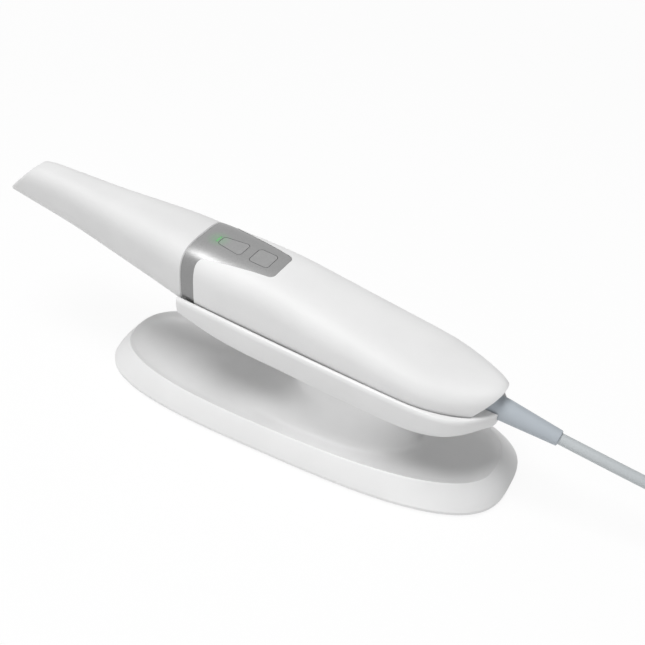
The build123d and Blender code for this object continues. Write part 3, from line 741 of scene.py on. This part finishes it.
@dataclass
class Studio:
    """Plain pale floor, white surroundings and large soft lights."""

    floor_size: float = 6.0
    floor_place: Point = (0.0, 0.0, -0.0002)
    floor_colour: Colour = (0.92, 0.92, 0.92)
    floor_roughness: float = 0.9
    floor_gloss: float = 0.1
    floor_share: float = 0.9
    shadow_reach: tuple[float, float] = (0.35, 1.10)
    world_strength: float = 0.26
    lamps: Sequence[Lamp] = (
        Lamp("key_light", (-0.14, -0.16, 1.22), size=0.75, power=11.6),
        Lamp("front_light", (0.30, -1.22, 0.36), size=0.6, power=2.8),
    )

    def build(self) -> None:
        """Makes the floor, the world and the lights."""
        bpy.context.scene.view_settings.view_transform = "Standard"
        self.floor()
        self.world()
        for lamp in self.lamps:
            lamp.build()

    def shown(self, tree: bpy.types.NodeTree) -> Wire:
        """Mask of the rays that show the plain background.

        Args:
            tree: The node tree that needs it.

        Returns:
            1 for a camera, glossy or transmission ray, otherwise 0.
        """
        seen, glossy, through = (
            add_node(tree, "LightPath", {}, {}, f"Is {ray} Ray")
            for ray in ("Camera", "Glossy", "Transmission")
        )
        return seen.math("MAXIMUM", glossy.math("MAXIMUM", through))

    def floor(self) -> bpy.types.Object:
        """Makes the floor, which shows white and keeps a faint shadow.

        Returns:
            The floor.
        """
        bpy.ops.object.select_all(action="DESELECT")
        bpy.ops.mesh.primitive_plane_add(size=self.floor_size, location=self.floor_place)
        floor = bpy.context.object
        floor.name = "floor"
        bpy.ops.object.transform_apply(location=True, rotation=True, scale=True)
        surface = Surface("floor_white")
        surface.put(
            Base_Color=self.floor_colour,
            Roughness=self.floor_roughness,
            Specular_IOR_Level=self.floor_gloss,
        )
        away = surface.node("VectorMath", {"operation": "LENGTH"}, {"Vector": surface.place}, "Value")
        white = away.step(*self.shadow_reach) * (1.0 - self.floor_share) + self.floor_share
        glow = surface.node("Emission", {}, {"Color": WHITE})
        lit = Wire(surface.tree, surface.shader.outputs[0])
        blend = surface.node("MixShader", {}, {0: self.shown(surface.tree) * white, 1: lit, 2: glow})
        feed(surface.tree, surface.tree.nodes["Material Output"].inputs["Surface"], blend)
        floor.data.materials.append(surface.material)
        log.info("floor of %.1f m", self.floor_size)
        return floor

    def world(self) -> None:
        """Makes the white surroundings, which light the object at their own strength."""
        world = bpy.data.worlds.new("white_room")
        world.use_nodes = True
        tree = world.node_tree
        strength = self.shown(tree) * (1.0 - self.world_strength) + self.world_strength
        feed(tree, tree.nodes["Background"].inputs["Color"], WHITE)
        feed(tree, tree.nodes["Background"].inputs["Strength"], strength)
        bpy.context.scene.world = world


def flow(table: Sequence[tuple[float, ...]], place: float) -> list[float]:
    """Smooth values between the rows of a table.

    Args:
        table: Rows of a place and the values there, in rising order.
        place: The place that is looked up.

    Returns:
        The values at the place.
    """
    last = len(table) - 1
    row = min(max(sum(1 for entry in table if entry[0] <= place) - 1, 0), last - 1)
    before, low, high, after = (table[min(max(row + step, 0), last)] for step in (-1, 0, 1, 2))
    width = high[0] - low[0]
    part = min(max((place - low[0]) / width, 0.0), 1.0)
    values = []
    for index in range(1, len(low)):
        start = (high[index] - before[index]) / (high[0] - before[0]) * width
        end = (after[index] - low[index]) / (after[0] - low[0]) * width
        rise = high[index] - low[index]
        bend = start + end - 2 * rise
        values.append(low[index] + part * (start + part * (rise - start - bend * (1 - part))))
    return values


def wrap(name: str, around: int, along: int, place: Callable[[int, int], Point]) -> bpy.types.Object:
    """Models a closed skin from a grid that is rolled up round its own length.

    Args:
        name: The piece's name.
        around: Faces round the skin.
        along: Faces along it.
        place: Gives a corner's place from its steps round and along.

    Returns:
        The finished piece.
    """
    bpy.ops.object.select_all(action="DESELECT")
    bpy.ops.mesh.primitive_grid_add(x_subdivisions=around, y_subdivisions=along, size=1.0)
    skin = bpy.context.object
    skin.name = name
    for vertex in skin.data.vertices:
        turn = round((vertex.co.x + 0.5) * around)
        step = round((vertex.co.y + 0.5) * along)
        vertex.co = place(turn % around, step)
    bpy.ops.object.mode_set(mode="EDIT")
    bpy.ops.mesh.select_all(action="SELECT")
    bpy.ops.mesh.remove_doubles(threshold=MERGE_DISTANCE)
    bpy.ops.mesh.normals_make_consistent(inside=False)
    bpy.ops.object.mode_set(mode="OBJECT")
    bpy.ops.object.shade_smooth_by_angle(angle=math.radians(SMOOTH_ANGLE))
    log.info("%s: %d faces", name, len(skin.data.polygons))
    return skin


def bow(turn: float, power: float) -> tuple[float, float]:
    """Corner of a superellipse of half sizes 1.

    Args:
        turn: Angle in radians.
        power: The superellipse's power.

    Returns:
        Its two coordinates.
    """
    side, rise = math.cos(turn), math.sin(turn)
    return (
        math.copysign(abs(side) ** (2 / power), side), math.copysign(abs(rise) ** (2 / power), rise),
    )


@dataclass
class Foot:
    """Moulded foot: thin lower band, broad rim slope, crisp crest, dish and trumpet pedestal."""

    half_length: float = 0.10498
    half_width: float = 0.03728
    shift: float = 0.0280
    # Shares of half length and half width, then height, power and share of the shift
    profile: Sequence[tuple[float, ...]] = (
        (0.981, 0.950, 0.00060, 3.10, 0.0), (0.9955, 0.988, 0.00075, 3.10, 0.0),
        (0.9993, 0.998, 0.00110, 3.10, 0.0), (1.000, 1.000, 0.00160, 3.10, 0.0),
        (1.000, 1.000, 0.00250, 3.09, 0.0), (0.9988, 0.9965, 0.00285, 3.07, 0.0),
        (0.996, 0.988, 0.00345, 3.03, 0.0), (0.989, 0.968, 0.00480, 2.96, 0.0),
        (0.979, 0.942, 0.00630, 2.88, 0.0), (0.967, 0.911, 0.00785, 2.80, 0.0),
        (0.954, 0.879, 0.00930, 2.72, 0.0), (0.943, 0.850, 0.01045, 2.66, 0.0),
        (0.9385, 0.8385, 0.01082, 2.64, 0.0), (0.9360, 0.8315, 0.01097, 2.63, 0.0),
        (0.9335, 0.8245, 0.01095, 2.62, 0.0), (0.9305, 0.8170, 0.01075, 2.62, 0.0),
        (0.924, 0.802, 0.01025, 2.61, 0.0), (0.910, 0.772, 0.00935, 2.60, 0.0),
        (0.886, 0.735, 0.00845, 2.60, 0.0), (0.848, 0.698, 0.00760, 2.59, 0.01),
        (0.780, 0.655, 0.00690, 2.57, 0.03), (0.690, 0.614, 0.00650, 2.53, 0.10),
        (0.590, 0.575, 0.00660, 2.47, 0.24), (0.500, 0.540, 0.00740, 2.38, 0.42),
        (0.430, 0.510, 0.00900, 2.28, 0.61), (0.375, 0.488, 0.01160, 2.18, 0.79),
        (0.330, 0.474, 0.01520, 2.11, 0.91), (0.300, 0.470, 0.01930, 2.05, 0.97),
        (0.282, 0.480, 0.02330, 2.00, 1.00), (0.274, 0.500, 0.02720, 2.00, 1.00),
        (0.272, 0.520, 0.03100, 2.00, 1.00), (0.272, 0.528, 0.03490, 2.00, 1.00),
    )
    # Half length, half width and power of the pocket for the plates
    pocket: tuple[float, float, float] = (0.0930, 0.0275, 3.0)
    # Half length and half width of the pedestal's hollow, and then its height at the top
    hollow: tuple[float, float] = (0.0230, 0.0110)
    hollow_top: tuple[float, float, float] = (0.0200, 0.0080, 0.0225)
    oval: float = 2.0
    bottom: float = 0.0006
    plate_gap: float = 0.0002
    around: int = 256
    # Steps between two rows of the profile
    fine: int = 4

    def rows(self) -> list[tuple[float, ...]]:
        """Level outlines from the lower edge over the pedestal and back through the hollow.

        Returns:
            Half length, half width, height, power and middle of each outline.
        """
        table = [(number, *entry) for number, entry in enumerate(self.profile)]
        rows = []
        for step in range((len(table) - 1) * self.fine + 1):
            long, wide, high, power, move = flow(table, step / self.fine)
            rows.append((long * self.half_length, wide * self.half_width, high, power,
                         move * self.shift))
        top, power = rows[-1][2:4]
        length, width, ceiling = self.hollow_top
        pocket_length, pocket_width, pocket_power = self.pocket
        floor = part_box("ballast_plate")[1][2] + self.plate_gap
        return rows + [
            (0.0, 0.0, top, power, self.shift),
            (0.0, 0.0, ceiling, self.oval, self.shift),
            (length, width, ceiling, self.oval, self.shift),
            (*self.hollow, floor, self.oval, self.shift),
            (pocket_length, pocket_width, floor, pocket_power, 0.0),
            (pocket_length, pocket_width, self.bottom, pocket_power, 0.0),
            rows[0],
        ]

    def build(self) -> bpy.types.Object:
        """Models the foot in place of its CAD solid.

        Returns:
            The foot.
        """
        rows = self.rows()

        def place(turn: int, step: int) -> Point:
            """Corner of the skin on one outline.

            Args:
                turn: Steps round the outline.
                step: The outline's number.

            Returns:
                The corner.
            """
            half_length, half_width, height, power, middle = rows[step]
            along, across = bow(turn * 2 * math.pi / self.around, power)
            return middle + half_length * along, half_width * across, height

        foot = wrap("foot", self.around, len(rows) - 1, place)
        foot.data.materials.append(BASE_WHITE.build())
        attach(foot, "stand")
        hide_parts("base_shell")
        return foot


@dataclass
class Tray:
    """Boat-shaped tray with a blunt nose, a rounded rim and a notch for the strain relief."""

    height: float = 0.0528
    tilt: float = 5.0
    # Place from the pedestal's axis, half width and depth outside, half width and depth inside
    stations: Sequence[tuple[float, ...]] = (
        (-0.0542, 0.02085, 0.0116, 0.01889, 0.00900), (-0.0500, 0.02100, 0.0134, 0.01893, 0.00925),
        (-0.0450, 0.02115, 0.0152, 0.01905, 0.01020), (-0.0380, 0.02135, 0.0176, 0.01925, 0.01075),
        (-0.0280, 0.02165, 0.0197, 0.01955, 0.01105), (-0.0120, 0.02215, 0.0210, 0.02005, 0.01112),
        (0.0100, 0.02270, 0.0215, 0.02060, 0.01112), (0.0400, 0.02318, 0.0215, 0.02108, 0.01112),
        (0.0560, 0.02320, 0.0213, 0.02120, 0.01110), (0.0640, 0.02310, 0.0206, 0.02100, 0.01108),
        (0.0700, 0.02268, 0.0194, 0.02022, 0.01090), (0.0750, 0.02205, 0.0179, 0.01905, 0.01060),
        (0.0790, 0.02115, 0.0163, 0.01780, 0.01040), (0.0820, 0.02005, 0.0148, 0.01665, 0.00720),
        (0.0840, 0.01905, 0.0137, 0.01570, 0.00490), (0.0860, 0.01775, 0.0126, 0.01465, 0.00260),
        (0.0878, 0.01630, 0.0116, 0.01355, 0.00080), (0.0882, 0.01595, 0.0113, 0.00560, 0.00590),
        (0.0900, 0.01420, 0.0104, 0.00550, 0.00600), (0.0920, 0.01200, 0.0095, 0.00550, 0.00610),
        (0.0940, 0.00960, 0.0087, 0.00550, 0.00625), (0.0955, 0.00775, 0.0081, 0.00550, 0.00635),
        (0.0964, 0.00660, 0.0076, 0.00550, 0.00640),
    )
    # First and last station of the drop from the seat to the notch
    drop: tuple[int, int] = (15, 18)
    # Width and height of the rim's rounding, and its greatest share of the wall
    rim_round: tuple[float, float] = (0.0016, 0.0024)
    rim_share: float = 0.7
    # Powers of the section: outside at the nose and past its reach, then inside
    nose_power: float = 3.8
    outer_power: float = 3.0
    blunt_reach: float = 0.054
    seat_power: float = 3.4
    seat_end: float = 0.080
    drop_power: float = 8.0
    notch_power: float = 2.0
    nose_radius: float = 0.0013
    nose_steps: int = 6
    stern_share: float = 0.6
    # Steps of half a section, of its rim, and along the tray
    half: int = 44
    rim_steps: int = 8
    along: int = 150

    def outline(self, x: float, inset: float) -> tuple[list[Point], list[Point]]:
        """Outer and inner line of the section at one station, from the near rim to the far.

        Args:
            x: The station in the handpiece's frame.
            inset: How far the outer line is drawn in.

        Returns:
            The two lines with equally many corners.
        """
        wide, deep, gap, floor = flow(self.stations, x)
        first, last = self.drop
        if self.stations[first][0] < x < self.stations[last][0]:
            gap, floor = self.straight(x)
        wide -= inset
        deep -= inset
        blunt = min(max(-x / self.blunt_reach, 0.0), 1.0)
        power = self.outer_power + (self.nose_power - self.outer_power) * blunt
        inner_power = self.drop_power
        if x < self.seat_end:
            inner_power = self.seat_power
        elif x > self.stations[first + 1][0]:
            inner_power = self.notch_power
        across, down = self.rim_round
        across = min(across, (wide - gap) * self.rim_share)
        outer, inner = [], []
        for step in range(self.half + 1):
            share = step / self.half
            if step <= self.rim_steps:
                turn = step / self.rim_steps * math.pi / 2
                y = wide - across + across * math.sin(turn)
                z = -down + down * math.cos(turn)
            else:
                turn = (step - self.rim_steps) / (self.half - self.rim_steps) * math.pi / 2
                side, drop = bow(turn, power)
                y = wide * side
                z = -down - (deep - down) * drop
            outer.append((x, y, z))
            side, drop = bow(share * math.pi / 2, inner_power)
            inner.append((x, gap * side, -floor * drop))
        for line in (outer, inner):
            line.extend([(x, -y, z) for x, y, z in reversed(line[:-1])])
        return outer, inner

    def straight(self, x: float) -> tuple[float, float]:
        """Half width and depth inside, with no smoothing, where the seat ends at the notch.

        Args:
            x: The station.

        Returns:
            The half width and the depth.
        """
        row = max(index for index, entry in enumerate(self.stations) if entry[0] <= x)
        low, high = self.stations[row], self.stations[row + 1]
        part = (x - low[0]) / (high[0] - low[0])
        return low[3] + (high[3] - low[3]) * part, low[4] + (high[4] - low[4]) * part

    def build(self) -> bpy.types.Object:
        """Models the tray in place of its CAD solid.

        Returns:
            The tray.
        """
        start, end = self.stations[0][0], self.stations[-1][0]
        nose = []
        for step in range(self.nose_steps + 1):
            turn = step / self.nose_steps * math.pi / 2
            nose.append((start + self.nose_radius * (1 - math.cos(turn)),
                         self.nose_radius * (1 - math.sin(turn))))
        body = self.along - 2 * len(nose)
        first, last = nose[-1][0], end - self.nose_radius
        belly = [(first + (last - first) * step / body, 0.0) for step in range(1, body)]
        stern = [(end - (x - start), inset * self.stern_share) for x, inset in nose]
        edges = [(entry[0], 0.0) for entry in self.stations[slice(*self.drop)]]
        places = sorted(nose + belly + stern + edges)
        sections = [self.outline(x, inset) for x, inset in places]
        lean = math.radians(self.tilt)
        outer_count = len(sections[0][0])

        def place(turn: int, step: int) -> Point:
            """Corner of the tray on one section, closed at both ends.

            Args:
                turn: Steps round the section, outside first.
                step: The section's number.

            Returns:
                The corner in the world.
            """
            outer, inner = sections[min(max(step - 1, 0), len(sections) - 1)]
            if turn < outer_count and 0 < step <= len(sections):
                x, y, z = outer[turn]
            else:
                x, y, z = inner[turn if turn < outer_count else 2 * outer_count - 1 - turn]
            return (x * math.cos(lean) + z * math.sin(lean), y,
                    self.height - x * math.sin(lean) + z * math.cos(lean))

        tray = wrap("tray", 2 * outer_count, len(sections) + 1, place)
        tray.data.materials.append(BASE_WHITE.build())
        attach(tray, "stand")
        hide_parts("cradle_tray")
        return tray


@dataclass
class Stand:
    """Weighted foot with its plates, pad and screws, and the tray on its pedestal."""

    finishes: dict[str, Finish] = field(default_factory=lambda: {
        "base_shell": BASE_WHITE, "base_plate": BASE_WHITE, "ballast_plate": PLATE_STEEL,
        "ballast_block": CAST_IRON, "grip_pad": PAD_SILICONE, "base_screws": ZINC_STEEL,
        "cradle_tray": BASE_WHITE, "front_rest_pad": PAD_SILICONE, "rear_rest_pad": PAD_SILICONE,
        "cradle_screws": ZINC_STEEL,
    })

    def build(self) -> None:
        """Models the foot and the tray and dresses the rest."""
        dress(self.finishes)
        Foot().build()
        Tray().build()


@dataclass
class Handpiece:
    """Body with its collar, buttons, optics and the pieces at its cable."""

    finishes: dict[str, Finish] = field(default_factory=lambda: {
        "upper_shell": SHELL_WHITE, "lower_shell": SHELL_WHITE, "control_collar": COLLAR_SILVER,
        "scan_button_cap": BUTTON_SILVER, "mode_button_cap": BUTTON_SILVER,
        "nose_barrel": BLACK_MOULDED, "barrel_seal": SEAL_SILICONE, "nose_window": FRONT_GLASS,
        "optics_chassis": BLASTED_ALU, "projector_module": BLACK_MOULDED,
        "camera_module": BLACK_MOULDED, "projector_lens": LENS_BLACK, "camera_lens": LENS_BLACK,
        "button_board": BOARD_GREEN, "scan_switch": BLACK_MOULDED, "mode_switch": BLACK_MOULDED,
        "main_board": BOARD_GREEN, "shell_screws": ZINC_STEEL, "strain_relief": RELIEF_RUBBER,
        "cable_clamp": BLACK_MOULDED, "clamp_screws": ZINC_STEEL,
    })
    # Parts whose finish gets a copy with the status light's green glow painted round the light
    painted_glow_parts: Sequence[str] = ("control_collar", "scan_button_cap")

    def build(self) -> None:
        """Dresses the handpiece."""
        low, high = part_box("status_light")
        middle = tuple((low + high) / 2)
        # Painted light: these copies carry the status light's green glow painted into their colour
        lit = {node: replace(self.finishes[node], name=self.finishes[node].name + "_painted_glow", lit=middle)
               for node in self.painted_glow_parts}
        dress({**self.finishes, **lit, "status_light": StatusGlow("status_glow", middle)})


@dataclass
class Tip:
    """Removable sleeve with its mirror."""

    finishes: dict[str, Finish] = field(default_factory=lambda: {
        "tip_sleeve": SLEEVE_WHITE, "tip_mirror": TIP_MIRROR,
    })

    def build(self) -> None:
        """Dresses the sleeve and the mirror."""
        dress(self.finishes)


@dataclass
class Plug:
    """Plug at the end of the lead."""

    finishes: dict[str, Finish] = field(default_factory=lambda: {
        "usb_plug_body": PLUG_GREY, "usb_plug_shell": PLUG_STEEL, "usb_insulator": PLUG_WHITE,
    })

    def build(self) -> None:
        """Dresses the plug."""
        dress(self.finishes)


def main() -> None:
    """Builds the camera, the cord, the object and the studio in order."""
    logging.basicConfig(level=logging.INFO, format="%(name)s: %(message)s")
    ViewPoint().build()
    Cable().build()
    Stand().build()
    Handpiece().build()
    Tip().build()
    Plug().build()
    Studio().build()


if __name__ == "__main__":
    main()
